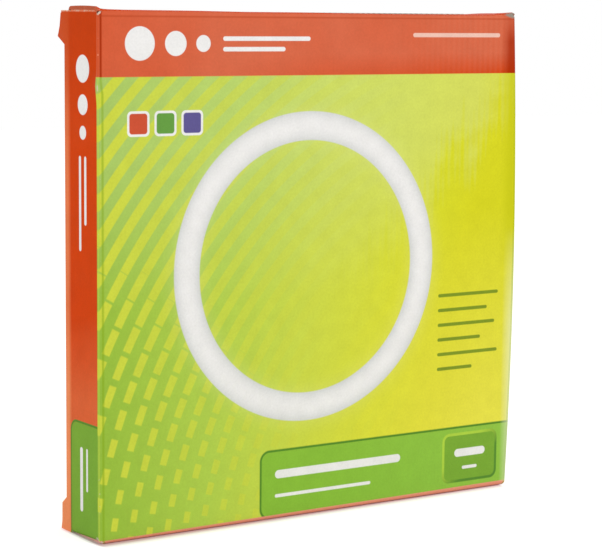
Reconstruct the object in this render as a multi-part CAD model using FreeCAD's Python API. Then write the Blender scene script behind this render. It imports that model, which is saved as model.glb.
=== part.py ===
import FreeCAD, Part
import math
import os

# A ring lamp in its printed tuck-end carton of thin corrugated board.
# Millimetres. The carton stands on its bottom closure: z = 0 is the floor,
# x = 0 the middle of its width, y = 0 the middle of its nominal depth.
# The front panel faces -Y. "Depth" below means distance behind the front panel's face.

V = FreeCAD.Vector

# Lamp
lamp_outside = 225.0
tube_diameter = 16.0
tube_gap_deg = 4.0
seat_gap = 0.1
base_width = 22.1
base_half_angle_deg = 14.0
base_outward = 10.0
base_inward = 13.0
base_wall = 2.0
base_collar_deg = 3.0
base_turn_deg = 45.0
plate_length = 22.0
plate_width = 15.0
plate_thickness = 1.2
pin_diameter = 2.4
pin_out = 9.0
pin_spacing_along = 8.0
pin_spacing_across = 7.0

# Boards
board = 1.6
liner_board = 1.5
fold_radius = 2.0
closure_fold_radius = 3.0
liner_fold_radius = 2.2

# Room round the lamp, from the carton's walls inwards
lamp_side_gap = 3.9
lamp_top_gap = 9.9
base_play = 0.25
liner_gap = 0.3
liner_tab_gap = 0.7
liner_side_gap = 1.2
liner_front_gap = 14.5
liner_back_gap = 22.5
liner_notch_radius = 14.0
closure_back_gap = 3.6

# Dust flaps, on the two side panels
dust_length = 62.0
dust_taper = 7.0
dust_shoulder = 12.0
dust_tab_gap = 1.0
dust_closure_gap = 0.2
dust_rise = 1.0
foot_gap = 2.0
foot_slant = 3.2
corner_relief = 0.4

# Closures: panel, rolled back fold and tuck tab
top_tab_length = 15.5
bottom_tab_length = 14.0
tab_corner_radius = 8.0
tab_side_gap = 0.5
panel_side_gap = 0.6
top_closure_lift_deg = 3.9

# Glue flap inside the right back corner
glue_flap_width = 16.0
glue_flap_end_gap = 26.0
glue_flap_taper = 8.0

# The right-hand folds bow outwards by this much at half height
right_bow = 2.6

# Back panel, pushed out where the closures' tabs press on it:
# height from the carton's end, and how far the face stands behind the nominal depth
top_flare = ((0.0, 3.5), (7.3, 4.5), (top_tab_length - 3.8, 6.5), (top_tab_length - 0.2, 0.0))
bottom_flare = ((0.0, 4.9), (4.0, 3.9), (bottom_tab_length - 1.7, 3.9), (bottom_tab_length + 0.8, 0.0))

# Places worked out from the sizes above, from the front panel's face backwards
liner_depth_front = board + liner_gap
lamp_depth = liner_depth_front + liner_board + base_play + base_width / 2
liner_depth_back = lamp_depth + base_width / 2 + base_play + liner_board
tab_depth = liner_depth_back + liner_tab_gap
closure_depth = tab_depth + board
carton_depth = closure_depth + closure_back_gap
foot_depth = closure_depth - foot_gap

# and from the floor upwards
dust_bottom_z = board + dust_closure_gap
liner_bottom_z = dust_bottom_z + board + seat_gap
lamp_z = liner_bottom_z + liner_board + seat_gap + lamp_outside / 2
carton_height = lamp_z + lamp_outside / 2 + lamp_top_gap

carton_width = lamp_outside + 2 * (lamp_side_gap + board)
half_width = carton_width / 2
front_y = -carton_depth / 2
lamp_y = front_y + lamp_depth
tube_radius = tube_diameter / 2
ring_radius = lamp_outside / 2 - tube_radius
far = 2 * carton_width


def at_depth(depth):
    return front_y + depth


def board_strip(start, heading_deg, steps, thickness, across, up):
    """The section of bent board: its outer face follows the steps, its inner face lies to their right.

    A step is ("run", length) or ("bend", angle, outer radius), turning to the right.
    The section lies in the plane of the directions across and up.
    """
    outer = []
    inner = []
    point = (start[0], start[1])
    heading = math.radians(heading_deg)

    def right_of(place, angle, distance):
        return (place[0] + distance * math.sin(angle), place[1] - distance * math.cos(angle))

    def vector(place):
        return across * place[0] + up * place[1]

    for step in steps:
        if step[0] == "run":
            new = (point[0] + step[1] * math.cos(heading), point[1] + step[1] * math.sin(heading))
            outer.append(Part.LineSegment(vector(point), vector(new)))
            inner.append(Part.LineSegment(vector(right_of(new, heading, thickness)),
                                          vector(right_of(point, heading, thickness))))
        else:
            turn, radius = math.radians(step[1]), step[2]
            centre = right_of(point, heading, radius)
            middle, final = heading - turn / 2, heading - turn
            new = right_of(centre, final, -radius)
            outer.append(Part.Arc(vector(point), vector(right_of(centre, middle, -radius)), vector(new)))
            small = radius - thickness
            inner.append(Part.Arc(vector(right_of(centre, final, -small)),
                                  vector(right_of(centre, middle, -small)),
                                  vector(right_of(centre, heading, -small))))
            heading = final
        point = new
    first = right_of((start[0], start[1]), math.radians(heading_deg), thickness)
    last = right_of(point, heading, thickness)
    cap_end = Part.LineSegment(vector(point), vector(last))
    cap_start = Part.LineSegment(vector(first), vector(start))
    edges = [c.toShape() for c in outer + [cap_end] + inner[::-1] + [cap_start]]
    wire = Part.Wire(edges)
    return Part.Face(wire)


def strip_along_x(start, heading_deg, steps, thickness, x_low, x_high):
    """A strip with its section in the YZ plane, between two places along X."""
    face = board_strip(start, heading_deg, steps, thickness, V(0, 1, 0), V(0, 0, 1))
    face.translate(V(x_low, 0, 0))
    return face.extrude(V(x_high - x_low, 0, 0))


def strip_along_y(start, heading_deg, steps, thickness, y_low, y_high):
    """A strip with its section in the XZ plane, between two places along Y."""
    face = board_strip(start, heading_deg, steps, thickness, V(1, 0, 0), V(0, 0, 1))
    face.translate(V(0, y_low, 0))
    return face.extrude(V(0, y_high - y_low, 0))


def prism(points, direction, low, high):
    """A straight-sided block: points give the two other coordinates in X, Y, Z order."""
    def place(a, b):
        return {"x": V(low, a, b), "y": V(a, low, b), "z": V(a, b, low)}[direction]
    corners = [place(a, b) for a, b in points]
    face = Part.Face(Part.makePolygon(corners + corners[:1]))
    length = high - low
    return face.extrude({"x": V(length, 0, 0), "y": V(0, length, 0), "z": V(0, 0, length)}[direction])


def back_profile():
    """The outer face of the back panel, as (height, depth) from the floor up."""
    low = [(height, carton_depth + extra) for height, extra in bottom_flare]
    high = [(carton_height - height, carton_depth + extra) for height, extra in top_flare]
    return low + high[::-1]


def offset_profile(profile, distance):
    """The same broken line, moved square to itself towards the front panel."""
    lines = []
    for (z0, d0), (z1, d1) in zip(profile, profile[1:]):
        length = math.hypot(z1 - z0, d1 - d0)
        dz, dd = (z1 - z0) / length, (d1 - d0) / length
        lines.append((z0 + dd * distance, d0 - dz * distance, dz, dd))
    moved = [(profile[0][0], lines[0][1] + (profile[0][0] - lines[0][0]) * lines[0][3] / lines[0][2])]
    for (za, da, uz, ud), (zb, db, wz, wd) in zip(lines, lines[1:]):
        reach = ((zb - za) * wd - (db - da) * wz) / (uz * wd - ud * wz)
        moved.append((za + reach * uz, da + reach * ud))
    za, da, uz, ud = lines[-1]
    moved.append((profile[-1][0], da + (profile[-1][0] - za) * ud / uz))
    return moved


def depth_at(profile, height):
    for (z0, d0), (z1, d1) in zip(profile, profile[1:]):
        if height <= z1:
            return d0 + (d1 - d0) * (height - z0) / (z1 - z0)
    return profile[-1][1]


def bow_at(height):
    """The right-hand folds bow outwards, most at half height."""
    along = 2 * height / carton_height - 1
    return right_bow * (1 - along * along)


def ring_section(height, inset, back_depth, radius):
    """One level of the sleeve: a rectangle, with rounded corners unless the radius is 0."""
    left = -half_width + inset
    right = half_width + bow_at(height) - inset
    front = front_y + inset
    back = at_depth(back_depth)
    corners = ((left, front, 1, 1), (right, front, -1, 1), (right, back, -1, -1), (left, back, 1, -1))
    if radius == 0:
        sharp = [V(x, y, height) for x, y, _, _ in corners]
        return Part.makePolygon(sharp + sharp[:1])
    cut = radius * (1 - math.sqrt(0.5))
    edges = []
    ends = []
    for index, (x, y, sx, sy) in enumerate(corners):
        on_x, on_y = V(x + sx * radius, y, height), V(x, y + sy * radius, height)
        middle = V(x + sx * cut, y + sy * cut, height)
        first, second = (on_y, on_x) if index % 2 == 0 else (on_x, on_y)
        ends.append((first, middle, second))
    for index, (first, middle, second) in enumerate(ends):
        edges.append(Part.Arc(first, middle, second).toShape())
        edges.append(Part.makeLine(second, ends[(index + 1) % len(ends)][0]))
    return Part.Wire(edges)


def sleeve_block(profile, inset, radius):
    """A solid through the sections at every bend of the profile and of the bow."""
    bow_steps = 8
    levels = {round(z, 3) for z, _ in profile}
    levels |= {round(carton_height * i / bow_steps, 3) for i in range(bow_steps + 1)}
    spaced = []
    for level in sorted(levels):
        if not spaced or level - spaced[-1] > 0.2:
            spaced.append(level)
    wires = [ring_section(z, inset, depth_at(profile, z), radius) for z in spaced]
    return Part.makeLoft(wires, True, True)


def top_line(depth):
    """Height of the top dust flaps' upper face, which rises towards the back."""
    return carton_height - board - dust_closure_gap + dust_rise * depth / carton_depth


def trim_ends(sleeve):
    """Cut the sleeve's two ends down to where its folds begin."""
    fold = at_depth(fold_radius)
    fold_z = carton_height - fold_radius
    inner_x = half_width - fold_radius
    near_line = top_line(fold_radius)
    far_line = top_line(far - front_y)
    above_all = [(-far, fold_z), (fold, fold_z), (fold, near_line), (far, far_line), (far, far), (-far, far)]
    below_front = [(-far, -far), (-far, fold_radius), (fold, fold_radius), (fold, -far)]
    above_sides = [(fold, near_line - fold_radius), (far, far_line - fold_radius),
                   (far, 2 * far), (fold, 2 * far)]
    foot_z = dust_bottom_z + fold_radius
    foot = at_depth(foot_depth)
    toe = foot + foot_slant
    below_sides = [(fold, -far), (fold, foot_z), (foot, foot_z), (toe, 0), (toe, -far)]
    sleeve = sleeve.cut(prism(above_all, "x", -far, far)).cut(prism(below_front, "x", -far, far))
    for low, high in ((-far, -inner_x), (inner_x, far)):
        sleeve = sleeve.cut(prism(above_sides, "x", low, high)).cut(prism(below_sides, "x", low, high))
    return sleeve


def dust_flap(fold_depth_high):
    """The left top dust flap with its fold, flat, its upper face at z = 0."""
    leg = board
    depth_low = fold_radius + corner_relief
    depth_high = closure_depth - board - dust_tab_gap
    start = (-half_width, -fold_radius - leg)
    fold_steps = [("run", leg), ("bend", 90, fold_radius)]
    steps = fold_steps + [("run", dust_length - fold_radius)]
    flap = strip_along_y(start, 90, steps, board, at_depth(depth_low), at_depth(depth_high))
    tip = -half_width + dust_length
    shoulder = -half_width + dust_shoulder
    for edge, inward in ((depth_low, dust_taper), (depth_high, -dust_taper)):
        corner = [(shoulder, at_depth(edge)), (tip, at_depth(edge)), (tip, at_depth(edge + inward))]
        flap = flap.cut(prism(corner, "z", -far, far))
    fold = strip_along_y(start, 90, fold_steps, board, at_depth(depth_low), at_depth(fold_depth_high))
    return flap.fuse(fold)


def mirrored(shape, normal):
    return shape.mirror(V(0, 0, 0), normal)


def dust_flaps():
    """Four flaps: a pair tilted up at the top, and a level pair at the bottom."""
    top = dust_flap(carton_depth)
    tilt = math.degrees(math.atan(dust_rise / carton_depth))
    top.translate(V(0, 0, top_line(0)))
    top.rotate(V(0, front_y, top_line(0)), V(1, 0, 0), tilt)
    bottom = mirrored(dust_flap(foot_depth), V(0, 0, 1))
    bottom.translate(V(0, 0, dust_bottom_z))
    flaps = [top, bottom]
    return flaps + [mirrored(flap, V(1, 0, 0)) for flap in flaps]


def front_folds():
    """The rolled edges that carry the closures: quarter bends, top and bottom."""
    inner_x = half_width - fold_radius
    leg = board / 4
    top = strip_along_x((front_y, carton_height - fold_radius - leg), 90,
                        [("run", leg), ("bend", 90, fold_radius)], board, -inner_x, inner_x)
    bottom = mirrored(top, V(0, 0, 1))
    bottom.translate(V(0, 0, carton_height))
    return [top, bottom]


def glue_flap():
    """The strip that joins the right side to the back panel, glued inside."""
    left = half_width - board - glue_flap_width
    right = half_width + 2 * right_bow
    low, high = glue_flap_end_gap, carton_height - glue_flap_end_gap
    outline = [(left, low + glue_flap_taper), (half_width, low), (right, low),
               (right, high), (half_width, high), (left, high - glue_flap_taper)]
    strip = prism(outline, "y", at_depth(carton_depth - 2 * board), at_depth(carton_depth))
    within_walls = sleeve_block(offset_profile(back_profile(), board / 2), board / 2, 0)
    return strip.common(within_walls)


def make_carton_body():
    outer_line = back_profile()
    inner_line = offset_profile(outer_line, board)
    outer = sleeve_block(outer_line, 0.0, fold_radius)
    inner = sleeve_block(inner_line, board, 0)
    body = trim_ends(outer.cut(inner))
    body = body.fuse(front_folds() + dust_flaps() + [glue_flap()])
    return body.removeSplitter()


def closure(tab_length):
    """A closure lying flat with its outer face up, hinge line at y = z = 0, back to +Y."""
    panel_length = closure_depth - fold_radius - closure_fold_radius
    panel_x = half_width - panel_side_gap
    tab_x = half_width - fold_radius - tab_side_gap
    panel = strip_along_x((0, 0), 0, [("run", panel_length)], board, -panel_x, panel_x)
    steps = [("run", panel_length), ("bend", 90, closure_fold_radius),
             ("run", tab_length - closure_fold_radius)]
    tab = strip_along_x((0, 0), 0, steps, board, -tab_x, tab_x)
    flap = panel.fuse(tab).removeSplitter()
    tips = [e for e in flap.Edges
            if abs(e.BoundBox.ZMax + tab_length) < 0.01 and e.BoundBox.XLength < 0.01]
    return flap.makeFillet(tab_corner_radius, tips)


def make_top_flap():
    flap = closure(top_tab_length)
    flap.rotate(V(0, 0, 0), V(1, 0, 0), top_closure_lift_deg)
    flap.translate(V(0, at_depth(fold_radius), carton_height))
    return flap


def make_bottom_flap():
    flap = mirrored(closure(bottom_tab_length), V(0, 0, 1))
    flap.translate(V(0, at_depth(fold_radius), 0))
    return flap


def make_inner_liner():
    """Front leaf, bottom and back leaf of one folded strip, with a thumb notch in the front leaf.

    The section is drawn upside down, its outer face outside, and then turned over.
    """
    front_height = carton_height - liner_front_gap - liner_bottom_z
    back_height = carton_height - liner_back_gap - liner_bottom_z
    depth = liner_depth_back - liner_depth_front
    x_end = half_width - board - liner_side_gap
    steps = [("run", front_height - liner_fold_radius), ("bend", 90, liner_fold_radius),
             ("run", depth - 2 * liner_fold_radius), ("bend", 90, liner_fold_radius),
             ("run", back_height - liner_fold_radius)]
    front_top = liner_bottom_z + front_height
    start = (at_depth(liner_depth_front), -front_top)
    liner = mirrored(strip_along_x(start, 90, steps, liner_board, -x_end, x_end), V(0, 0, 1))
    notch = Part.makeCylinder(liner_notch_radius, lamp_depth, V(0, front_y, front_top), V(0, 1, 0))
    return liner.cut(notch)


def lamp_place(shape):
    """Stand the lamp in the carton: modelled about the Z axis, its base towards +X."""
    shape.rotate(V(0, 0, 0), V(0, 0, 1), base_turn_deg)
    shape.rotate(V(0, 0, 0), V(1, 0, 0), 90)
    shape.translate(V(0, lamp_y, lamp_z))
    return shape


def ring_tube(radius, half_gap_deg):
    """A bent round rod about the Z axis, open by the gap at +X."""
    section = Part.makeCircle(radius, V(ring_radius, 0, 0), V(0, 1, 0))
    face = Part.Face(Part.Wire([section]))
    face.rotate(V(0, 0, 0), V(0, 0, 1), half_gap_deg)
    return face.revolve(V(0, 0, 0), V(0, 0, 1), 360 - 2 * half_gap_deg)


def make_lamp_tube():
    return lamp_place(ring_tube(tube_radius, tube_gap_deg))


def plate_pocket(clearance):
    """Room for the contact plate in the base's inner face."""
    inner_x = ring_radius - base_inward
    length, width = plate_length + 2 * clearance, plate_width + 2 * clearance
    return Part.makeBox(2 * plate_thickness, length, width,
                        V(inner_x - plate_thickness, -length / 2, -width / 2))


def ring_block(low, high, half_thickness, half_angle_deg):
    """A block of rectangular section bent with the ring, about the base's middle."""
    corners = [V(low, 0, -half_thickness), V(high, 0, -half_thickness),
               V(high, 0, half_thickness), V(low, 0, half_thickness)]
    face = Part.Face(Part.makePolygon(corners + corners[:1]))
    face.rotate(V(0, 0, 0), V(0, 0, 1), -half_angle_deg)
    return face.revolve(V(0, 0, 0), V(0, 0, 1), 2 * half_angle_deg)


def base_block():
    """The moulded base: a hollow bent block, with a collar round the tube at each end."""
    low, high = ring_radius - base_inward, ring_radius + base_outward
    block = ring_block(low, high, base_width / 2, base_half_angle_deg)
    hollow = ring_block(low + base_wall + plate_thickness, high - base_wall, base_width / 2 - base_wall,
                        base_half_angle_deg - base_collar_deg)
    flat = Part.makeBox(low, 2 * low, 2 * base_width, V(0, -low, -base_width))
    bore = ring_tube(tube_radius + seat_gap, 0.0)
    return block.cut(flat).cut(hollow).cut(bore).cut(plate_pocket(seat_gap))


def make_lamp_base_half(side):
    """One of the base's two shells, split on the ring's plane."""
    low_z = 0 if side > 0 else -base_width
    half_space = Part.makeBox(far, 2 * far, base_width, V(0, -far, low_z))
    return lamp_place(base_block().common(half_space))


def pins(low, high):
    """Four round rods between two distances from the ring's middle."""
    along, across = pin_spacing_along / 2, pin_spacing_across / 2
    places = [(sy * along, sz * across) for sy in (-1, 1) for sz in (-1, 1)]
    return [Part.makeCylinder(pin_diameter / 2, high - low, V(low, y, z), V(1, 0, 0)) for y, z in places]


def make_lamp_contact_plate():
    inner_x = ring_radius - base_inward
    plate = Part.makeBox(plate_thickness, plate_length, plate_width,
                         V(inner_x, -plate_length / 2, -plate_width / 2))
    return lamp_place(plate.cut(Part.makeCompound(pins(inner_x - 1, inner_x + 2 * plate_thickness))))


def make_lamp_pins():
    """Four contact pins, through the plate and pointing to the middle of the ring."""
    inner_x = ring_radius - base_inward
    return lamp_place(Part.makeCompound(pins(inner_x - pin_out, inner_x + plate_thickness)))


os.makedirs("parts", exist_ok=True)
nodes = {
    "carton_body": make_carton_body(),
    "top_flap": make_top_flap(),
    "bottom_flap": make_bottom_flap(),
    "inner_liner": make_inner_liner(),
    "lamp_tube": make_lamp_tube(),
    "lamp_base_front": make_lamp_base_half(1),
    "lamp_base_back": make_lamp_base_half(-1),
    "lamp_contact_plate": make_lamp_contact_plate(),
    "lamp_pins": make_lamp_pins(),
}
for name, shape in nodes.items():
    shape.exportStep("parts/" + name + ".step")
    box = shape.BoundBox
    print(name, "valid", shape.isValid(), "solids", len(shape.Solids), "volume", round(shape.Volume, 1),
          "x", round(box.XMin, 2), round(box.XMax, 2), "y", round(box.YMin, 2), round(box.YMax, 2),
          "z", round(box.ZMin, 2), round(box.ZMax, 2))
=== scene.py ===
# %% [markdown]
# A ring lamp in its printed carton, dressed in Blender.
# The imported CAD model is loaded first and stays as it is. Every visible piece is either a CAD node with a
# better material, or a new mesh that stands for one and, apart from the two creases, rides on the same body.

# %% Load the frame
import math

import bmesh
import bpy
from mathutils import Matrix, Vector


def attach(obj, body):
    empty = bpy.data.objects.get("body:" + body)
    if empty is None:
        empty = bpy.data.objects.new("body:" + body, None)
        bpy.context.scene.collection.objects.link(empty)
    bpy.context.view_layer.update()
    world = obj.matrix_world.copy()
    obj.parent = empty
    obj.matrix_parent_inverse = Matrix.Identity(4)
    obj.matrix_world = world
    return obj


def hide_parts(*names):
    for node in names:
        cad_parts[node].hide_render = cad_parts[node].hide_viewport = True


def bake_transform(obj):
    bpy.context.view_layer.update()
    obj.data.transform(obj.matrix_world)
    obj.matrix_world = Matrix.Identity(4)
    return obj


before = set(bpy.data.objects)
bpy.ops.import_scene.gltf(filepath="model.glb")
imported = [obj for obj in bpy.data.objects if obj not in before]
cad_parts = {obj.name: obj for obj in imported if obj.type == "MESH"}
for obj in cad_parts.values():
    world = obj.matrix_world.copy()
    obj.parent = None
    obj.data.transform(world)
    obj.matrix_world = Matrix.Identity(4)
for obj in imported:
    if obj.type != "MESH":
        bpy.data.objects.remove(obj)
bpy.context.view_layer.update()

# %% [markdown]
# The carton's sizes in metres, as in the CAD source. The board is 1.6 mm thick, and creased so that
# its outer face turns on a radius of 2 mm. The narrow sides' rolled upper edges lie at two levels,
# and their lower ones slope down to the floor at the back.

# %% Sizes of the carton
width, depth, height = 0.236, 0.0334, 0.240
board, fold, closure_fold = 0.0016, 0.0020, 0.0030
front, side = -depth / 2, width / 2
hinge_y, crease_end, closure_end = front + fold, front + 0.0035, front + 0.0298
dust_low, dust_high = front + 0.0024, front + 0.0272
dust_reach, dust_shoulder, dust_taper = 0.062, 0.012, 0.007
back_top, side_top = height - 0.0002, {-1: height + 0.0007, 1: height - 0.0010}
foot_front, foot_slope = 0.0011, 0.0011 / 0.0272
print("sleeve", width, "by", depth, "by", height, "m, of board", board)

# %% [markdown]
# A handled carton isn't straight. These lists hold places and amounts in millimetres: how far the
# back stands out near each end, and along the width how far the upper front edge sags, how far the
# closure's ends have sprung up, and how it curls, in degrees.

# %% How far the board has moved
back_bulge, side_bow = 0.0009, 0.0031
top_flare = ((0.0, 3.3), (7.3, 4.6), (11.9, 6.5), (15.5, 0.0))
bottom_flare = ((0.0, 5.2), (4.0, 4.4), (12.3, 4.3), (15.6, 0.0))
sag_points = ((-118, 0.0), (-90, 0.1), (-60, 0.2), (-33, 0.5), (-4, 0.45), (30, 0.7), (60, 0.85),
              (98, 0.7), (108, 0.3), (113, 0.0))
hop_points = ((-117.4, 1.6), (-116.6, 1.2), (-115.5, 0.7), (-112, 0.3), (-105, 0.1), (-98, 0.0),
              (106, 0.0), (110, 0.1), (113, 0.3), (115, 0.55), (118, 0.8))
curl_points = ((-118, 0.2), (-108, 0.4), (-60, 0.25), (0, 0.05), (118, 0.0))


def between(points, at):
    """Straight-line steps through a list of places and values."""
    for (a, low), (b, high) in zip(points, points[1:]):
        if at <= b:
            return low + (high - low) * (max(at, a) - a) / (b - a)
    return points[-1][1]


def flare(z):
    """How far the back stands out: it bulges a little, and the tuck tabs push it more."""
    return back_bulge + (between(bottom_flare, z * 1000) + between(top_flare, (height - z) * 1000)) / 1000


def bow(z):
    """How far the right-hand folds bow out at this height."""
    return side_bow * (1 - (2 * z / height - 1) ** 2)


def side_foot(y):
    """Level of a side panel's rolled lower edge."""
    return foot_front - foot_slope * (y - front)


widest = max(flare(height - h / 1000) for h, _ in top_flare)
print("back stands out by up to", round(widest, 5), "and the right folds by", round(bow(height / 2), 5))

# %% [markdown]
# A few helpers do in code what a hand does in edit mode: leave nothing selected, select by place,
# and cut with a plane. Operators act on all that is selected, so each step selects afresh.

# %% Selecting and cutting
hair = 1e-5  # thinner than anything on the carton


def clear_selection():
    if bpy.context.mode != "OBJECT":
        bpy.ops.object.mode_set(mode="OBJECT")
    bpy.ops.object.select_all(action="DESELECT")


def open_primitive(name, size):
    """Name the new primitive, apply its size and place, and leave it in edit mode."""
    piece = bpy.context.object
    piece.name = name
    piece.scale = size
    bpy.ops.object.transform_apply(location=True, rotation=True, scale=True)
    bpy.ops.object.mode_set(mode="EDIT")
    return piece


def middle(part):
    if isinstance(part, bmesh.types.BMVert):
        return part.co
    return sum((v.co for v in part.verts), Vector()) / len(part.verts)


def pick(kind, test):
    """Select the vertices, edges or faces in edit mode whose middle passes the test."""
    bpy.ops.mesh.select_mode(type=kind)
    bpy.ops.mesh.select_all(action="DESELECT")
    mesh = bmesh.from_edit_mesh(bpy.context.object.data)
    chosen = [p for p in getattr(mesh, kind.lower() + "s") if test(middle(p), p)]
    for part in chosen:
        part.select_set(True)
    mesh.select_flush_mode()
    bmesh.update_edit_mesh(bpy.context.object.data)
    return len(chosen)


def cut(place, normal, drop=False):
    """Cut what is selected by a plane, and drop what lies beyond it if that is asked."""
    bpy.ops.mesh.bisect(plane_co=place, plane_no=normal, clear_outer=drop)


def everywhere(place, normal):
    bpy.ops.mesh.select_all(action="SELECT")
    cut(place, normal)


def slices(axis, places):
    """Cut everything across an axis, "x", "y" or "z", at each place."""
    normal = Vector([float(axis == a) for a in "xyz"])
    for at in places:
        everywhere(normal * at, normal)


def near(a, b, slack=2e-5):
    return abs(a - b) < slack


def spread(low, high, step):
    """Places between two ends, about a step apart."""
    count = max(1, round((high - low) / step))
    return [low + (high - low) * i / count for i in range(1, count)]


# %% [markdown]
# The carton's body is one blank of board folded into a sleeve: front, two narrow sides and a back.
# A cube without its ends gives the four panels, and a bevel along the upright edges gives the folds.
# Rows and columns of cuts follow, so that the panels can later be pushed out, bowed and dented.

# %% Sleeve
clear_selection()
bpy.ops.mesh.primitive_cube_add(size=1, location=(0, 0, height / 2))
carton_shell = open_primitive("carton_shell", (width, depth, height))
pick("FACE", lambda p, f: abs(f.normal.z) > 0.9)
bpy.ops.mesh.delete(type="FACE")
pick("EDGE", lambda p, e: abs(e.verts[0].co.z - e.verts[1].co.z) > 0.1)
bpy.ops.mesh.bevel(offset=fold, offset_type="OFFSET", segments=6, affect="EDGES")

bends = [h / 1000 for h, _ in bottom_flare[1:]] + [height - h / 1000 for h, _ in top_flare[1:]]
knock_rows = [0.2035, 0.2065, 0.2095]
plain_rows = spread(0.0148, knock_rows[0], 0.005) + spread(knock_rows[2], height - 0.0153, 0.005)
rows = sorted(bends + knock_rows + plain_rows)
grid_x = sorted(spread(-side + fold, side - fold, 0.006) + [-0.1145, -0.1125, 0.1125, 0.1145])
past_dust = dust_high + 0.0038
slices("z", rows)
slices("x", grid_x)
slices("y", [dust_low, dust_high, past_dust] + spread(dust_low, dust_high, 0.005))
print("rows", len(rows), "vertices", len(bmesh.from_edit_mesh(carton_shell.data).verts))

# %% [markdown]
# At both ends the tuck tabs press the back panel out, and over the whole height the right-hand
# folds bow a little. Each row of vertices is moved by its own amount, so the panels stay smooth.

# %% Pushed-out back and bowed side
for z in [0.0] + rows + [height]:
    pick("VERT", lambda p, v: near(p.z, z) and p.y > depth / 2 - fold - hair)
    bpy.ops.transform.translate(value=(0, flare(z), 0))
    if bow(z) > 0:
        pick("VERT", lambda p, v: near(p.z, z) and p.x > side - fold - hair)
        bpy.ops.transform.translate(value=(bow(z), 0, 0))
spots = [v.co for v in bmesh.from_edit_mesh(carton_shell.data).verts]
print("sleeve reaches x", round(max(p.x for p in spots), 5), "y", round(max(p.y for p in spots), 5))

# %% [markdown]
# The panels aren't all cut at the same height. The front panel ends where its fold begins, the side
# panels where their dust flaps turn in, and the back panel has a raw edge with its corners cut off.

# %% Trimmed ends
def trim(place, normal, chosen):
    """Cut the whole sheet by a plane, then drop the chosen faces beyond it."""
    everywhere(place, normal)
    pick("FACE", lambda p, f: chosen(p) and (p - Vector(place)).dot(Vector(normal)) > 0)
    bpy.ops.mesh.delete(type="FACE")


on_front = lambda p: p.y < front + fold + hair
on_flank = lambda p: abs(p.x) > side - fold - hair and front + fold < p.y < dust_high
on_rest = lambda p: not on_front(p) and not on_flank(p)
upper = lambda p: p.z > height / 2
lower = lambda p: p.z < height / 2
snip_y, snip_z = depth / 2 + 0.0044, height - 0.0019
trim((0, 0, height - fold), (0, 0, 1), lambda p: on_front(p) and upper(p))
trim((0, 0, fold), (0, 0, -1), lambda p: on_front(p) and lower(p))
trim((0, 0, back_top), (0, 0, 1), lambda p: on_rest(p) and upper(p))
trim((0, front, foot_front + fold), (0, -foot_slope, -1), lambda p: on_flank(p) and lower(p))
for way in (-1, 1):
    trim((0, 0, side_top[way] - fold), (0, 0, 1), lambda p: on_flank(p) and upper(p) and p.x * way > 0)
    trim((way * side, snip_y, snip_z), (way * 5.5, 6.8, 14.8),
         lambda p: on_rest(p) and p.x * way > 0.112 and p.y > past_dust and p.z > 0.23)
print("faces after trimming", len(bmesh.from_edit_mesh(carton_shell.data).faces))

# %% [markdown]
# The front panel's upper and lower folds and the dust flaps are turned from the panels' edges. Spin bends an
# edge round the fold's centre, as the creased board bends, and extrude draws the flap out from it. The front
# folds stop at 60 degrees, where the crease strip takes over. On the right-hand side the bow leaves the turned
# edges 0.15 mm off, more than the 0.1 mm that the search allows, so the two dust flaps there end at their
# folds. That is an open fault.

# %% Folds and dust flaps
turn_part, droop = math.radians(60), math.radians(15)
droop_part = 0.008
level_part = dust_reach - fold - droop_part * math.cos(droop)
inwards = side - fold - fold * math.sin(droop)
on_dust_edge = lambda p: p.x * way > side - 2e-4 and dust_low - hair < p.y < dust_high + hair


def roll(steps, angle, centre, axis):
    """Bend the selected edges round an axis, as a right-handed turn. Spin turns the other way."""
    bpy.ops.mesh.spin(steps=steps, angle=angle, center=centre, axis=-Vector(axis))


def edge_on(test):
    return pick("EDGE", lambda p, e: all(test(v.co) for v in e.verts))


def draw_flap(way, up):
    """Extrude the selected edges into a dust flap: a drooping part, then a level one."""
    for along, fall in ((droop_part * math.cos(droop), droop_part * math.sin(droop)), (level_part, 0)):
        bpy.ops.mesh.extrude_edges_move(TRANSFORM_OT_translate={"value": (-way * along, 0, -up * fall)})


edge_on(lambda p: near(p.z, height - fold) and p.y < hinge_y + hair)
roll(4, turn_part, (0, hinge_y, height - fold), (-1, 0, 0))
edge_on(lambda p: near(p.z, fold) and p.y < hinge_y + hair)
roll(4, turn_part, (0, hinge_y, fold), (1, 0, 0))
for way in (-1, 1):
    turn_level = side_top[way] - fold
    edge_on(lambda p: near(p.z, turn_level) and on_dust_edge(p))
    roll(5, math.pi / 2 + droop, (way * (side - fold), 0, turn_level), (0, -way, 0))
    edge_on(lambda p: near(p.z, turn_level + fold * math.cos(droop), 1e-4) and near(p.x * way, inwards, 3e-4))
    draw_flap(way, 1)
    edge_on(lambda p: near(p.z, side_foot(p.y) + fold, 1e-4) and on_dust_edge(p))
    roll(5, math.pi / 2 + droop, (way * (side - fold), front, foot_front + fold), (0, way, -way * foot_slope))
    rolled = lambda p: side_foot(p.y) + fold - fold * math.cos(droop)
    found = edge_on(lambda p: near(p.z, rolled(p), 1e-4) and near(p.x * way, inwards, 3e-4))
    draw_flap(way, -1)
    print("side", way, "edges turned", found)

# %% [markdown]
# The carton has been used: its upper front edge sags by up to 0.85 mm, the front left fold has a
# knock near the header's lower edge, and the panels are pressed in a little here and there, by
# proportional editing, which moves the board around a point less and less, as a thumb does.

# %% Sag, knock and dents
sag_zone = 0.012
front_dents = ((-0.062, 0.092, 0.00022, 0.034), (0.046, 0.148, 0.00025, 0.040),
               (0.088, 0.052, 0.00020, 0.026), (-0.020, 0.200, 0.00018, 0.022))
back_dents = ((-0.05, 0.13, 0.00025, 0.04), (0.06, 0.08, 0.00025, 0.036))


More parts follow.
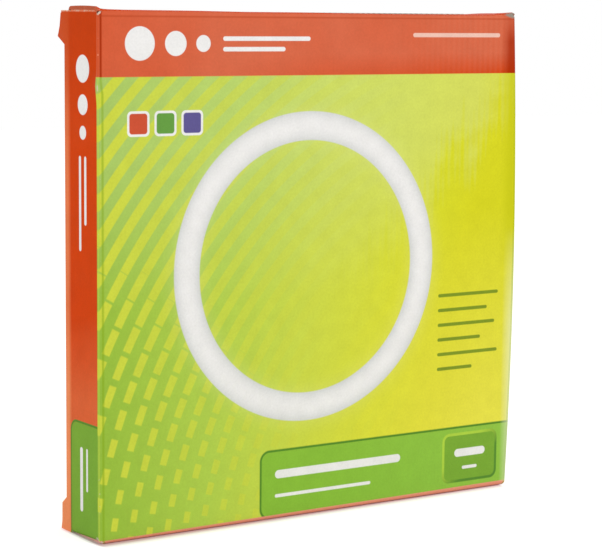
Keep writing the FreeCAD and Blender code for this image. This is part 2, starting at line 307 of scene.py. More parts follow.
def settle(x):
    """Lower what is selected in this column by the sag of the upper edge."""
    shrink = 1 - between(sag_points, x * 1000) / (sag_zone * 1000)
    bpy.ops.transform.resize(value=(1, 1, shrink), center_override=(0, 0, height - sag_zone))


def press(place, push, radius):
    """Push the nearest vertex and the board around it."""
    mesh = bmesh.from_edit_mesh(bpy.context.object.data)
    closest = min((v.co.copy() for v in mesh.verts), key=lambda p: (p - Vector(place)).length)
    pick("VERT", lambda p, v: (p - closest).length < 1e-6)
    bpy.ops.transform.translate(value=push, use_proportional_edit=True, use_proportional_connected=True,
                                proportional_edit_falloff="SMOOTH", proportional_size=radius)


for x in grid_x:
    pick("VERT", lambda p, v: near(p.x, x) and p.y < hinge_y + hair and p.z > height - sag_zone)
    settle(x)
pick("VERT", lambda p, v: near(p.z, knock_rows[1]) and p.x < -side + fold + hair and p.y < front + fold + hair)
bpy.ops.transform.translate(value=(-0.0004, -0.0001, 0))
for x, z, deep, wide in front_dents:
    press((x, front, z), (0, deep, 0), wide)
for x, z, deep, wide in back_dents:
    press((x, depth / 2 + back_bulge, z), (0, -deep, 0), wide)
print("top edge sags by", max(s for _, s in sag_points), "mm, dents", len(front_dents) + len(back_dents))

# %% [markdown]
# Dust flaps taper towards their tips, so that they slip in under the closure. Two slanting cuts do
# that to each. The whole sheet then gets its thickness inwards, with one material for the
# printed face, one for the brown inside and one for the raw cut edges.

# %% Tapered flaps and thickness
def finish_board(piece, outward):
    """Merge, turn the faces outwards, and give the sheet its thickness on the inside."""
    bpy.ops.mesh.select_all(action="SELECT")
    bpy.ops.mesh.remove_doubles(threshold=1e-5)
    bpy.ops.mesh.normals_make_consistent(inside=False)
    place, direction = outward
    mesh = bmesh.from_edit_mesh(piece.data)
    closest = min(mesh.faces, key=lambda f: (f.calc_center_median() - Vector(place)).length)
    if closest.normal.dot(Vector(direction)) < 0:
        bpy.ops.mesh.flip_normals()
    bpy.ops.object.mode_set(mode="OBJECT")
    for index in range(3):
        piece.data.materials.append(None)
    solid = piece.modifiers.new("thickness", "SOLIDIFY")
    solid.thickness = board
    solid.offset = -1
    solid.use_even_offset = True
    solid.material_offset = 1
    solid.material_offset_rim = 2
    bpy.ops.object.modifier_apply(modifier="thickness")
    bpy.ops.object.shade_smooth_by_angle(angle=math.radians(35))
    print(piece.name, "faces", len(piece.data.polygons))


is_flap = lambda p: abs(p.x) < side - fold - 1e-4 and not near(p.y, front, 1e-4) and dust_low < p.y < dust_high
run = dust_reach - dust_shoulder
for way in (-1, 1):
    for y, inward in ((dust_low, 1), (dust_high, -1)):
        pick("FACE", lambda p, f: is_flap(p) and p.x * way > 0 and abs(f.normal.z) > 0.9)
        cut((way * (side - dust_shoulder), y, 0), (-way * dust_taper, -inward * run, 0), True)
finish_board(carton_shell, ((0, front, height / 2), (0, -1, 0)))

# %% [markdown]
# What the folds and the thickness took below the floor is pressed level, as the weight does.

# %% Flat foot
bpy.ops.object.mode_set(mode="EDIT")
below = pick("VERT", lambda p, v: p.z < 0)
bpy.ops.transform.resize(value=(1, 1, 0), center_override=(0, 0, 0))
bpy.ops.object.mode_set(mode="OBJECT")
print("vertices pressed level", below)

# %% [markdown]
# A closure is a flat panel with a rolled back fold and a tuck tab with rounded corners. A plane is
# cut into columns and rows, its back edge is spun into the fold and extruded into the tab, and
# slanting cuts round the tab's corners.

# %% Folded closures
crease_x = sorted(grid_x + [-0.1155, 0.1155])
x_tab, tab_corner, row_step = side - fold - 0.0005, 0.008, 0.0035


def start_sheet(name, x_half, y_low, y_high, z):
    """A flat sheet of board, from a plane, left in edit mode."""
    clear_selection()
    bpy.ops.mesh.primitive_plane_add(size=1, location=(0, (y_low + y_high) / 2, z))
    return open_primitive(name, (2 * x_half, y_high - y_low, 1))


def fold_closure(name, up, tab_length, roll_radius, x_panel):
    level = height if up > 0 else 0.0
    y_bend = closure_end - roll_radius
    sheet = start_sheet(name, x_panel, crease_end, y_bend, level)
    slices("x", sorted({-x_tab, x_tab, *[x for x in crease_x if abs(x) < x_panel]}))
    slices("y", spread(crease_end, y_bend, row_step))
    edge_on(lambda p: near(p.y, y_bend))
    roll(6, math.pi / 2, (0, y_bend, level - up * roll_radius), (-up, 0, 0))
    edge_on(lambda p: near(p.y, closure_end) and abs(p.x) < x_tab + hair)
    bpy.ops.mesh.extrude_edges_move(TRANSFORM_OT_translate={"value": (0, 0, -up * (tab_length - roll_radius))})
    round_tab(up, level, tab_length, roll_radius)
    return sheet


def round_tab(up, level, tab_length, roll_radius):
    """Round the tab's two free corners by slanting cuts."""
    for way in (-1, 1):
        centre = Vector((way * (x_tab - tab_corner), 0, level - up * (tab_length - tab_corner)))
        for slant in (15, 45, 75):
            turned = math.radians(slant)
            outwards = Vector((way * math.sin(turned), 0, -up * math.cos(turned)))
            pick("FACE", lambda p, f: near(p.y, closure_end) and p.x * way > x_tab - 0.012
                 and (p.z - level) * up < -roll_radius)
            cut(centre + outwards * tab_corner, outwards, True)


# %% [markdown]
# The top closure is in plain sight, so it gets the real one's shape: its panel is crowned a little,
# both ends have sprung up off the front fold, and the whole front edge sags with the panel below.

# %% Sprung top closure
crown, right_spring = 0.0010, 0.0095


def columns_of(sheet):
    return sorted({round(v.co.x, 5) for v in bmesh.from_edit_mesh(sheet.data).verts})


def bend_column(x, level, behind=-1.0):
    """Curl a column up from the front fold, then lower it by the sag of the front edge."""
    pick("VERT", lambda p, v: near(p.x, x) and p.y > behind)
    angle = math.radians(between(curl_points, x * 1000))
    bpy.ops.transform.rotate(value=-angle, orient_axis="X", orient_type="GLOBAL",
                             center_override=(0, hinge_y, level))
    pick("VERT", lambda p, v: near(p.x, x))
    settle(x)


def hop_column(x, y, share):
    """Lift a column, or its vertex at one place, by a share of the spring at that end."""
    hop = between(hop_points, x * 1000) * share / 1000
    if hop > 0 and pick("VERT", lambda p, v: near(p.x, x) and (y is None or near(p.y, y, 1e-4))):
        bpy.ops.transform.translate(value=(0, 0, hop))


def spring_top(sheet, y_bend):
    steps = [crease_end] + spread(crease_end, y_bend, row_step)
    for y in steps:
        share = (y - crease_end) / (y_bend - crease_end)
        pick("VERT", lambda p, v: near(p.y, y) and near(p.z, height))
        bpy.ops.transform.translate(value=(0, 0, crown * share * (1 - share)))
    for x in columns_of(sheet):
        if x < 0:
            hop_column(x, None, 1)
        else:
            for y in steps[:3]:
                hop_column(x, y, 1 - (y - crease_end) / right_spring)
        bend_column(x, height)


top_roll = 0.0022
top_board = fold_closure("top_closure_board", 1, 0.0155, top_roll, side - 0.0006)
spring_top(top_board, closure_end - top_roll)
finish_board(top_board, ((0, 0.004, height), (0, 0, 1)))
bottom_board = fold_closure("bottom_closure_board", -1, 0.0140, closure_fold, side - 0.0014)
finish_board(bottom_board, ((0, 0.004, 0.0), (0, 0, -1)))

# %% [markdown]
# Where a closure meets the front panel the board only bends. A short strip of the same section bridges the
# two. The top one also joins the closure's sprung ends to the front panel.

# %% Creases that bend
def fold_crease(name, up, x_half):
    level = height if up > 0 else 0.0
    sheet = start_sheet(name, x_half, hinge_y, crease_end, level)
    slices("x", crease_x + [-0.1166, 0.1166])
    slices("y", spread(hinge_y, crease_end, 0.0005))
    edge_on(lambda p: near(p.y, hinge_y))
    roll(3, math.pi / 2 - turn_part, (0, hinge_y, level - up * fold), (up, 0, 0))
    return sheet


top_crease = fold_crease("top_crease", 1, side)
steps = sorted({round(v.co.y, 5) for v in bmesh.from_edit_mesh(top_crease.data).verts})
for x in columns_of(top_crease):
    for y in steps:
        hop_column(x, y, ((y - steps[0]) / (steps[-1] - steps[0])) ** 0.7)
    bend_column(x, height, hinge_y + 1e-4)
finish_board(top_crease, ((0, hinge_y, height), (0, 0, 1)))
bottom_crease = fold_crease("bottom_crease", -1, side - fold)
finish_board(bottom_crease, ((0, hinge_y, 0.0), (0, 0, -1)))

# %% [markdown]
# The glue flap is the strip that closes the sleeve, glued to the back panel inside the right-hand
# back corner. It is an upright plane with its two free corners moved in, and it follows the bulge.

# %% Glue flap
strip_width, strip_middle = 0.016, side - board - 0.008
strip_end, strip_slant = 0.026, 0.008
strip_length = height - 2 * strip_end
clear_selection()
bpy.ops.mesh.primitive_plane_add(size=1, rotation=(math.pi / 2, 0, 0),
                                 location=(strip_middle, depth / 2 + back_bulge - board, height / 2))
glue_strip = open_primitive("glue_strip", (strip_width, strip_length, 1))
edge_on(lambda p: p.x < strip_middle - 0.004)
bpy.ops.transform.resize(value=(1, 1, 1 - 2 * strip_slant / strip_length), center_override=(0, 0, height / 2))
slices("z", spread(strip_end, height - strip_end, 0.012))
finish_board(glue_strip, ((side - 0.01, depth / 2 + back_bulge, height / 2), (0, 1, 0)))

# %% [markdown]
# Shader maths reads best as plain sums. This class wraps a node's output, so that + - * / add Math
# nodes, and one method makes any other node from its type, its settings and its inputs.

# %% Shader values
class Value:
    def __init__(self, socket):
        self.socket = socket

    def make(self, kind, settings=None, sockets=None, output=0):
        """Any node: its type, its settings, then the values or links of its sockets."""
        tree = self.socket.id_data
        node = tree.nodes.new(kind)
        for name, setting in (settings or {}).items():
            if name == "stops":
                while len(node.color_ramp.elements) < len(setting):
                    node.color_ramp.elements.new(0.5)
                for element, (place, colour) in zip(node.color_ramp.elements, setting):
                    element.position, element.color = place, colour
            else:
                setattr(node, name, setting)
        for name, content in (sockets or {}).items():
            if isinstance(content, Value):
                tree.links.new(content.socket, node.inputs[name])
            else:
                node.inputs[name].default_value = content
        return Value(node.outputs[output])

    def sum(self, operation, *others, clamp=False):
        sockets = {i: other for i, other in enumerate((self,) + others)}
        return self.make("ShaderNodeMath", {"operation": operation, "use_clamp": clamp}, sockets)

    def __add__(self, other):
        return self.sum("ADD", other)

    __radd__ = __add__

    def __sub__(self, other):
        return self.sum("SUBTRACT", other)

    def __rsub__(self, other):
        return self.make("ShaderNodeMath", {"operation": "SUBTRACT"}, {0: other, 1: self})

    def __mul__(self, other):
        return self.sum("MULTIPLY", other)

    __rmul__ = __mul__

    def __truediv__(self, other):
        return self.sum("DIVIDE", other)

    def __abs__(self):
        return self.sum("ABSOLUTE")

    def most(self, other):
        return self.sum("MAXIMUM", other)

    def root(self):
        return self.sum("SQRT")

    def rest(self):
        return self.sum("FRACT")

    def clamped(self):
        return self.sum("ADD", 0.0, clamp=True)

    def step(self, edge, soft):
        """0 below the edge and 1 above it, over a soft width."""
        if isinstance(edge, Value):
            return ((self - edge) / soft + 0.5).clamped()
        return self.sum("MULTIPLY_ADD", 1 / soft, 0.5 - edge / soft, clamp=True)

    def under(self, edge, soft):
        return 1 - self.step(edge, soft)

    def inside(self, low, high, soft):
        return self.step(low, soft) * self.under(high, soft)


# %% [markdown]
# A finish starts from a Principled shader and the object's own coordinates, in millimetres, because
# print and wear are easier to place so. Colours are written as a screen shows them.

# %% Starting a finish
def tint(red, green, blue):
    """A colour as a screen shows it, 0 to 255, turned into Blender's linear values."""
    def linear(c):
        c = c / 255
        return c / 12.92 if c <= 0.04045 else ((c + 0.055) / 1.055) ** 2.4
    return (linear(red), linear(green), linear(blue), 1.0)


def shade_of(tone, strength):
    """The same colour, lighter or darker."""
    return tint(*[min(255, c * strength) for c in tone])


def paint(under, over, share):
    """Lay one colour over another by a share from 0 to 1."""
    return share.make("ShaderNodeMix", {"data_type": "RGBA"}, {0: share, 6: under, 7: over}, 2)


def split(vector):
    """The three numbers of a vector."""
    apart = vector.make("ShaderNodeSeparateXYZ", {}, {0: vector}).socket.node
    return [Value(output) for output in apart.outputs]


def in_millimetres(place):
    return [number * 1000 for number in split(place)]


def start_finish(name, **uniform):
    """A new material: the material, its Principled shader and the object's own coordinates."""
    material = bpy.data.materials.new(name)
    material.use_nodes = True
    tree = material.node_tree
    shader = tree.nodes["Principled BSDF"]
    for socket, value in uniform.items():
        shader.inputs[socket.replace("_", " ")].default_value = value
    return material, shader, Value(tree.nodes.new("ShaderNodeTexCoord").outputs["Object"])


def plug(shader, **links):
    for name, value in links.items():
        shader.id_data.links.new(value.socket, shader.inputs[name.replace("_", " ")])


def grain(place, scale, detail=2.0, rough=0.5):
    """Noise from 0 to 1, its scale in cells a metre."""
    sockets = {"Vector": place, "Scale": scale, "Detail": detail, "Roughness": rough}
    return place.make("ShaderNodeTexNoise", {}, sockets)


# %% [markdown]
# Printed shapes come from distances in millimetres, with the soft edge that ink has on board. Each
# gives a share from 0 to 1 that paint() uses.

# %% Printed shapes
def box_gap(u, v, low_u, low_v, high_u, high_v, corner):
    """Distance outside a rounded box, negative inside it."""
    half_u, half_v = (high_u - low_u) / 2 - corner, (high_v - low_v) / 2 - corner
    over_u = abs(u - (low_u + high_u) / 2) - half_u
    over_v = abs(v - (low_v + high_v) / 2) - half_v
    out_u, out_v = over_u.most(0.0), over_v.most(0.0)
    return (out_u * out_u + out_v * out_v).root() + over_u.most(over_v).sum("MINIMUM", 0.0) - corner


def printed_box(u, v, *box):
    return box_gap(u, v, *box).under(0.0, 0.35)


def reach(u, v, centre_u, centre_v):
    du, dv = u - centre_u, v - centre_v
    return (du * du + dv * dv).root()


def printed_dot(u, v, centre_u, centre_v, radius):
    return (reach(u, v, centre_u, centre_v) - radius).under(0.0, 0.35)


def flute_wave(along):
    """Waves of the board's flutes, 3.3 mm apart, from -1 to 1."""
    return (along * (2 * math.pi / 3.3)).sum("SINE")


# %% [markdown]
# The print is fields of colour and simple shapes: an orange-red header, a field that runs from leaf
# green to yellow with curved stripes, a white ring, a green panel and plain bars. The back isn't
# seen, so it gets the same fields with a plain header, read from its own left side.

# %% Colours of the inks
# The last colour on this line is the header's ink under a painted sheen, for the gloss's reflection.
ORANGE, DEEP_ORANGE, SHEEN_ORANGE = tint(212, 66, 0), tint(188, 58, 0), tint(216, 108, 76)
# The last two colours on this line are the foot strip's painted light and shade: the orange ink painted paler,
# as lit, and painted contact shade on its lowest curve.
PALE_ORANGE, LIT_FOOT_ORANGE, CONTACT_SHADE_PINK = tint(246, 150, 98), tint(236, 154, 126), tint(222, 160, 146)
GREEN, PALE_GREEN, LABEL_GREEN = tint(140, 190, 62), tint(148, 197, 72), tint(124, 170, 56)
BADGE_GREEN, BAR_GREEN, DARK_GREEN = tint(126, 172, 58), tint(98, 132, 40), tint(88, 140, 48)
# The first colour on this line is a painted sheen over the field, for the gloss's reflection.
SHEEN_GREEN, STRIPE_LIME, WARM_YELLOW = tint(206, 224, 160), tint(208, 216, 70), tint(244, 234, 92)
WHITE_INK, GREY_WHITE, GLOW = tint(240, 238, 236), tint(206, 208, 206), tint(232, 236, 150)
ROSE, PAPER, RAW_GREY = tint(240, 196, 180), tint(222, 208, 190), tint(150, 142, 130)
FIELD_STOPS = [(0.00, tint(154, 191, 66)), (0.30, tint(178, 207, 80)), (0.56, tint(205, 217, 76)),
               (0.82, tint(215, 219, 50)), (1.00, tint(216, 214, 36))]
SWATCHES = (tint(205, 84, 56), tint(104, 158, 70), tint(98, 90, 146))
wide, tall, header_foot = width * 1000, height * 1000, 210.6
print("front", wide, "by", tall, "mm, header above", header_foot)

# %% [markdown]
# The large field is a colour ramp with a pale painted sheen at its upper right, standing for the gloss's
# reflection, which breaks into upright streaks, and a warmer glow lower down. Its stripes are arcs that fall
# apart into rows of dashes.

# %% Green and yellow field
def stripes(u, v):
    """Arcs round a point beyond the lower right corner, cut into dashes by their angle."""
    pitch, across, below = 9.4, 262.0, 36.0
    bend = reach(u, v, across, -below) / pitch
    turn = v.make("ShaderNodeMath", {"operation": "ARCTAN2"}, {0: v + below, 1: across - u})
    whole_arc = ((turn - 0.20) / 0.42).clamped()
    arcs = abs(bend.rest() - 0.5).under(whole_arc * 0.08 + 0.17, 0.06)
    row_shift = bend.sum("FLOOR") * 0.37
    dashes = abs((turn / 0.0492 + row_shift).rest() - 0.5).under(whole_arc * 0.29 + 0.24, 0.05)
    return arcs * dashes * (1 - u / 175).clamped()


def print_field(place, u, v):
    drift = (grain(place, 9.0, 1.0) - 0.5) * 24
    along = ((u * (1.34 - v * 0.0016) + drift) / wide).clamped()
    colour = u.make("ShaderNodeValToRGB", {"stops": FIELD_STOPS}, {0: along})
    # A painted sheen, for the gloss's reflection, over the upper right. Its edge is broken into upright
    # streaks.
    columns = place.make("ShaderNodeMapping", {}, {"Vector": place, "Scale": (1.0, 1.0, 0.08)})
    streaks = flute_wave(u) * 5 + (grain(columns, 210) - 0.5) * 56 + (grain(place, 60, 3.0) - 0.5) * 44
    veil = (v - 203 + (wide - u) * 0.95 + streaks).step(0.0, 26.0)
    painted_sheen = veil * v.step(140.0, 70.0) * (1 - u.step(225.0, 24.0) * 0.5)
    colour = paint(colour, SHEEN_GREEN, painted_sheen * 0.27)
    colour = paint(colour, WARM_YELLOW, v.under(90.0, 110.0) * u.step(165.0, 110.0) * 0.62)
    return paint(colour, STRIPE_LIME, stripes(u, v))


# %% [markdown]
# On the field lie a ring, three framed squares, six bars and a green panel with a badge. Each
# function paints its shapes over the colour so far.

# %% Ring, squares and panel
def white_boxes(colour, u, v, boxes, share=1.0):
    for box in boxes:
        colour = paint(colour, WHITE_INK, printed_box(u, v, *box) * share)
    return colour


def print_ring(colour, u, v):
    """A white ring, shaded as a round tube, with a pale glow round it."""
    ring = abs(reach(u, v, 112.0, 120.0) - 67.0)
    glow, shade = 1 - (ring / 16).clamped(), (ring / 6.8).clamped()
    colour = paint(colour, GLOW, glow * glow * 0.45)
    return paint(colour, paint(WHITE_INK, GREY_WHITE, shade * shade * 0.8), ring.under(6.8, 0.5))


def print_squares_and_bars(colour, u, v):
    for index, swatch in enumerate(SWATCHES):
        low = 14 + 14 * index
        colour = white_boxes(colour, u, v, [(low, 184, low + 11.4, 195.4, 2.2)])
        colour = paint(colour, swatch, printed_box(u, v, low + 1.1, 185.1, low + 10.3, 194.3, 1.4))
    for index, length in enumerate((38, 31, 36, 27, 38, 22)):
        low = 100 - 7.4 * index
        colour = paint(colour, BAR_GREEN, printed_box(u, v, 190, low, 190 + length, low + 1.7, 0.85) * 0.85)
    return colour


def print_panel(colour, u, v):
    """The green panel along the foot, with a badge whose rim is lit from its upper left."""
    panel, badge = box_gap(u, v, 86, 1.0, 300, 33.0, 4.6), box_gap(u, v, 195, 5.6, 228.5, 29.6, 3.6)
    colour = paint(colour, DARK_GREEN, abs(panel).under(0.65, 0.5))
    colour = paint(colour, paint(GREEN, PALE_GREEN, u.step(170.0, 100.0)), panel.under(-0.5, 0.4))
    colour = white_boxes(colour, u, v, [(94, 19.6, 168, 23.6, 2.0), (94, 10.4, 150, 12.0, 0.8)])
    lit = (v - 17.6 + (211.7 - u) * 0.7).step(0.0, 14.0)
    colour = paint(colour, BADGE_GREEN, badge.under(0.0, 0.4))
    colour = paint(colour, paint(tint(92, 142, 54), tint(178, 212, 72), lit), abs(badge).under(0.7, 0.4))
    return white_boxes(colour, u, v, [(202, 18.0, 221.5, 22.0, 2.0), (207, 11.4, 216.5, 13.0, 0.8)])


# %% [markdown]
# The header is orange-red under a painted sheen that stands for the gloss's reflection, with less of it at the
# lower right. The front ends below in a coral strip, the same orange ink seen at a low angle on the rolled
# fold, painted paler there as lit, with painted contact shade along its lowest curve.

# %% Header and foot
def print_header(colour, place, u, v, in_front):
    # A painted sheen, for the gloss's reflection, lies over the header's ink. It thins at the left, at the
    # lower right and along the flutes.
    low_right = (1 - abs(v - 211.0) / 10).clamped() * ((u - 50) / 186).clamped() * 0.8
    at_left = (1 - u / 60).clamped() * 0.38
    flutes = flute_wave(u) * u.step(180.0, 60.0) * 0.07
    less_sheen = (grain(place, 24.0, 3.0) * 0.5 - 0.19 + at_left + low_right + flutes).clamped()
    colour = paint(colour, paint(SHEEN_ORANGE, ORANGE, less_sheen), v.step(header_foot, 0.35))
    for centre, radius in ((20.5, 7.6), (39.0, 5.6), (53.5, 3.8)):
        colour = paint(colour, WHITE_INK, printed_dot(u, v, centre, 225.4, radius) * in_front)
    colour = white_boxes(colour, u, v, [(64, 226.6, 112, 228.6, 1.0), (64, 221.8, 98, 223.8, 1.0)], in_front)
    return paint(colour, ROSE, printed_box(u, v, 172, 228.4, 226, 230.4, 1.0) * in_front)


def print_front(place, u, v, in_front):
    """The whole printed front or back at u across and v up, in millimetres."""
    colour = print_ring(print_field(place, u, v), u, v)
    colour = print_panel(print_squares_and_bars(colour, u, v), u, v)
    # The foot strip: orange ink painted paler, as lit, then painted contact shade along its lowest curve.
    colour = paint(colour, LIT_FOOT_ORANGE, v.under(u * 0.0042 + 1.65, 0.35))
    colour = paint(colour, CONTACT_SHADE_PINK, v.under(0.6, 0.6) * 0.8)
    return print_header(colour, place, u, v, in_front)


# %% [markdown]
# The narrow sides are orange, paler towards the back by painted light and towards the foot, and darker at the
# top by painted shade, with white dots and bars and a green label that reaches the front fold.

# %% Narrow sides
def print_side(place, d, v):
    """The print at d back from the front and v up, in millimetres."""
    label = box_gap(d, v, -20, -20, 27.8, 53.4, 5.0)
    # Painted light: paler towards the back fold.
    far = d.step(28.5, 3.0) * (0.62 - v.step(195.0, 60.0) * 0.4)
    pale = ((grain(place, 20.0) - 0.5) * 0.24 + far + v.under(84.0, 40.0) * 0.30).clamped()
    colour = paint(ORANGE, PALE_ORANGE, pale)
    # Painted shade: darker towards the top.
    colour = paint(colour, DEEP_ORANGE, v.step(212.0, 50.0) * 0.5)
    colour = paint(colour, DARK_GREEN, abs(label).under(0.6, 0.4))
    colour = paint(colour, LABEL_GREEN, label.under(-0.5, 0.4))
    for centre, radius in ((214.0, 6.2), (198.0, 4.6), (185.5, 3.1)):
        colour = paint(colour, WHITE_INK, printed_dot(d, v, 15.5, centre, radius))
    return white_boxes(colour, d, v, [(17.3, 132, 19.3, 175, 1.0), (12.3, 144, 14.3, 175, 1.0),
                                      (16.6, 12, 19.2, 42, 1.3), (11.8, 22, 13.4, 42, 0.8)])


# %% [markdown]
# Wear follows the carton's shape, so each point first has to know where it lies: how far behind the
# front, how far from the middle without the bow, how far past the round fold, and on which face.

# %% Where a point lies
class Spot:
    """A point of the body, in millimetres, with shares that say on which part it is."""
    def __init__(self, place):
        self.place = place
        self.x, self.y, self.z = in_millimetres(place)
        swell = 2 * self.z / tall - 1
        self.left = self.x.under(0.0, 1.0)
        self.away = self.y - front * 1000
        self.across = abs(self.x) - (1 - swell * swell) * side_bow * 1000 * (1 - self.left)
        self.round_fold = side * 1000 - self.across - self.away
        self.at_back = self.y.step(0.0, 0.1)
        self.at_front = self.away.under(4.0, 1.0)
        self.in_header = self.z.step(header_foot, 0.3)
        self.u = self.x * (1 - self.at_back * 2) + side * 1000
        self.fleck = grain(place, 700, 3.0, 0.7)


# %% [markdown]
# The board under the print leaves its marks: the ink is slightly mottled, and corners and folds are rubbed to
# bare paper. Light and shade are painted on too: painted shade in the creases with a painted highlight beside
# them, painted shade where the right-hand edge turns away from the light, and a painted highlight on that
# edge's lower part. They come from noise and from the distance to each fold.

# %% Marks, painted shade and painted highlights on the print
def lay_print(spot):
    """Front or back print, side print past the fold, and plain ink on the dust flaps, all mottled."""
    place, away, across = spot.place, spot.away, spot.across
    knock = (1 - abs(spot.z - 206.5) / 9).clamped() * spot.left
    past_fold = (spot.round_fold + 2.4 + knock * 1.3).under(0.0, 0.3)
    to_side = across.step(spot.z.step(5.0, 2.0) + 116.3, 0.25) * away.step(2.5, 0.3) * past_fold
    panel = print_front(place, spot.u, spot.z, 1 - spot.at_back)
    colour = paint(panel, print_side(place, away, spot.z), to_side)
    mottle = (grain(place, 900, 3.0, 0.6) - 0.5) * 0.20 + (grain(place, 120, 3.0) - 0.5) * 0.16
    colour = colour.make("ShaderNodeHueSaturation", {}, {"Value": mottle + 1.0, "Color": colour})
    return paint(colour, ORANGE, across.under(115.9, 0.3) * away.inside(2.2, 28.0, 0.2))


def shade_and_light_folds(colour, spot, crease_groove_and_shade):
    """Painted shade in the creases, a painted highlight beside them, and painted shade and a painted highlight
    at the right-hand edge.
    """
    z, header = spot.z, spot.in_header
    # Painted shade along the creases, stronger in the header.
    colour = paint(colour, paint(tint(134, 168, 30), tint(166, 44, 0), header), crease_groove_and_shade * (header * 0.32 + 0.6))
    # A painted highlight on the fold's round, beside the front crease.
    sheen = abs(spot.round_fold + 1.3).under(0.55, 0.5) * spot.at_front
    colour = paint(colour, paint(tint(196, 216, 84), tint(214, 80, 34), header), sheen * 0.5)
    # Painted shade along the crease of the upper front fold.
    top_crease_shade = abs(z - 237.4).under(0.35, 0.5) * spot.away.under(1.5, 0.5)
    colour = paint(colour, tint(180, 66, 30), top_crease_shade * 0.5)
    # Painted shade on the upper part of the right-hand edge, where it turns away from the light.
    shaded = spot.u.step(231.0 - header * 1.4, 6.0) * spot.at_front * z.step(125.0, 30.0)
    depth_of_shade = header * 0.15 + 0.7 - z.step(231.0, 9.0) * 0.5
    colour = paint(colour, paint(tint(200, 200, 24), tint(168, 42, 0), header), shaded * depth_of_shade)
    # A pale painted highlight on the lower part of the right-hand edge.
    lit = spot.u.step(233.6, 5.0) * spot.at_front * z.under(108.0, 50.0) * z.step(2.0, 0.4)
    return paint(colour, tint(240, 246, 204), lit * 0.47)


def rub(colour, spot):
    """Cracked ink, bare paper on folds, corners and the knock, and a torn spot at the upper right."""
    x, z, away, across, fleck = spot.x, spot.z, spot.away, spot.across, spot.fleck
    at_fold = abs(spot.round_fold + 0.6).under(0.9, 0.6) * spot.at_front
    cracked = z.step(239.3, 0.6) * across.step(115.6, 0.5) * away.step(2.6, 0.3)
    foot_worn = z.under(1.3 - away * 0.040, 0.3) * across.step(116.2, 0.3) * away.inside(2.4, 22.0, 0.6)
    folds = at_fold * fleck.step(0.70, 0.04) + cracked * fleck.step(0.56, 0.1) * 0.7
    folds = folds + foot_worn * fleck.step(0.36, 0.2) * 0.85
    knock = (1 - reach(spot.round_fold, (z - 205.8) * 0.45, -1.6, 0.0) / 0.9).clamped()
    knocked = knock.step(0.3, 0.4) * spot.at_front * 0.7
    ragged = (fleck - 0.5) * 4.0
    corner = (reach(reach(across, away, 118.0, 0.9), z * 0.7, 0.0, 167.9) + ragged).under(1.25, 0.5)
    foot_corner = (reach(reach(across, away, 117.4, 2.8), z, 0.0, 0.6) + ragged).under(2.1, 0.5)
    # A small pale dot on the front left fold, in the header.
    pale_dot = reach(spot.round_fold, z, -1.2, 220.4).under(0.42, 0.3) * spot.left * spot.at_front
    torn = z.step(237.9, 1.2) * (x + (z - tall) * 2.0).step(110.5, 2.0) * away.under(2.5, 1.0)
    colour = paint(colour, tint(240, 150, 112), (cracked * 0.8 + pale_dot).clamped())
    bare = folds + knocked + corner * spot.left * 0.85 + foot_corner * 0.85
    colour = paint(colour, PAPER, bare.clamped())
    return paint(colour, RAW_GREY, (torn * fleck.step(0.34, 0.1)).clamped())


# %% [markdown]
# Print, marks and painted light and shade come together in the sleeve's outer finish. The closures and creases
# have their own, simpler one: plain ink, rubbed at the ends, pale at the foot in painted contact shade, and
# torn at the upper right.

# %% Printed finishes
def bump(place, strength, rise):
    """A Normal from heights in millimetres."""
    return place.make("ShaderNodeBump", {}, {"Strength": strength, "Distance": 0.001, "Height": rise})


def board_bump(place, along, extra=0.0, strength=0.25):
    """Flutes that show through in patches, a fine tooth, and slow waves of the board."""
    patches = grain(place, 22, 3.0).step(0.52, 0.16)
    flutes = flute_wave(along) * (patches * 0.085 + 0.012)
    tooth, waves = (grain(place, 2600) - 0.5) * 0.02, (grain(place, 26) - 0.5) * 0.5
    return bump(place, strength, flutes + tooth + waves + extra)


def make_printed_board():
    material, shader, place = start_finish("printed_board", Specular_IOR_Level=0.02)
    spot = Spot(place)
    crease_line = spot.round_fold + spot.z.step(206.0, 6.0) * 0.9 - 1.5
    # The crease line both dips in the bump, as a groove, and is painted with shade.
    crease_groove_and_shade = abs(crease_line).under(0.6, 0.8) * spot.at_front
    colour = rub(shade_and_light_folds(lay_print(spot), spot, crease_groove_and_shade), spot)
    plug(shader, Base_Color=colour, Normal=board_bump(place, spot.x, crease_groove_and_shade * -0.2),
         Roughness=grain(place, 400) * 0.12 + 0.36)
    return material


def make_closure_print():
    material, shader, place = start_finish("closure_print", Specular_IOR_Level=0.02)
    x, y, z = in_millimetres(place)
    away, fleck = y - front * 1000, grain(place, 700, 3.0, 0.7)
    mottle = (grain(place, 900, 3.0, 0.6) - 0.5) * 0.22
    colour = place.make("ShaderNodeHueSaturation", {}, {"Value": mottle + 1.0, "Color": ORANGE})
    colour = paint(colour, PAPER, abs(x).step(116.9, 0.6) * fleck.step(0.56, 0.1) * 0.8)
    # Painted contact shade on the lowest curve of the fold at the foot.
    colour = paint(colour, CONTACT_SHADE_PINK, z.under(0.7, 0.6) * away.under(2.2, 0.6) * 0.8)
    torn = x.step(113.0, 2.0) * z.step(239.2, 0.8) * away.under(2.6, 1.0)
    colour = paint(colour, RAW_GREY, torn * fleck.step(0.4, 0.1))
    plug(shader, Base_Color=colour, Normal=board_bump(place, x), Roughness=grain(place, 400) * 0.12 + 0.36)
    return material


# %% [markdown]
# Inside, the board is bare brown paper with long fibres and lighter specks, reddish orange near its ends. Cut
# edges show the flutes where the cut crosses them, their hollows in painted shade, and only paper on the
# others.

